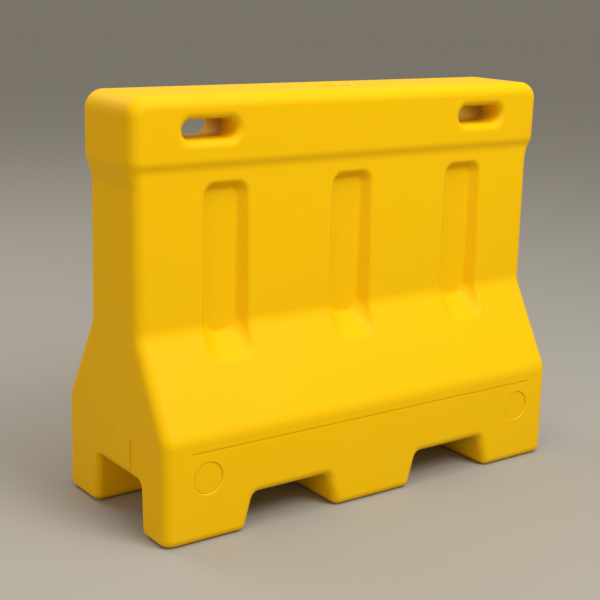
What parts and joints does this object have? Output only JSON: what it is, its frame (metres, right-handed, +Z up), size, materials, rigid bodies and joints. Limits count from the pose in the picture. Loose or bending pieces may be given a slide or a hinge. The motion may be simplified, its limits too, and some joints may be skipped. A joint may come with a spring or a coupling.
{
  "type": "road barrier",
  "caption": "Hollow one-piece plastic road barrier with a tapering Jersey profile, wall flutes, hand slots, fork pockets, a screw fill cap and push-in drain bungs",
  "frame": {"origin": "on the floor, under the middle of the barrier", "axes": "+X along the length of the barrier, +Y towards the side without drains (the pictured side faces -Y), +Z up"},
  "size_m": [1, 0.3894, 0.81],
  "materials": {
    "shell": "through-coloured yellow rotomoulded polyethylene, satin with a very fine orange-peel texture",
    "port_fittings": "yellow moulded polyethylene bush, smooth",
    "cap_and_bungs": "yellow injection-moulded polyethylene, satin",
    "seals": "black rubber, dull"
  },
  "bodies": {
    "barrier": {"barrier_shell": "shell", "fill_port_ring": "port_fittings", "drain_bush_left": "port_fittings", "drain_bush_right": "port_fittings"},
    "fill_gasket": {"fill_cap_gasket": "seals"},
    "fill_cap": {"fill_cap": "cap_and_bungs"},
    "drain_bung_left": {"drain_bung_left": "cap_and_bungs", "drain_seal_left": "seals"},
    "drain_bung_right": {"drain_bung_right": "cap_and_bungs", "drain_seal_right": "seals"}
  },
  "joints": [
    {"name": "fill_cap_lift", "type": "slide", "parent": "barrier", "child": "fill_gasket", "axis": [0, 0, 1], "range_m": [0, 0.0187]},
    {"name": "fill_cap_turn", "type": "hinge", "parent": "fill_gasket", "child": "fill_cap", "pos_m": [0, 0, 0.798], "axis": [0, 0, 1], "range_deg": [0, 1120]},
    {"name": "drain_bung_left_pull", "type": "slide", "parent": "barrier", "child": "drain_bung_left", "axis": [0, -1, 0], "range_m": [0, 0.03]},
    {"name": "drain_bung_right_pull", "type": "slide", "parent": "barrier", "child": "drain_bung_right", "axis": [0, -1, 0], "range_m": [0, 0.03]}
  ],
  "couplings": [
    {"joint": "fill_cap_lift", "follows": "fill_cap_turn", "m_per_rad": 0.00095493}
  ]
}
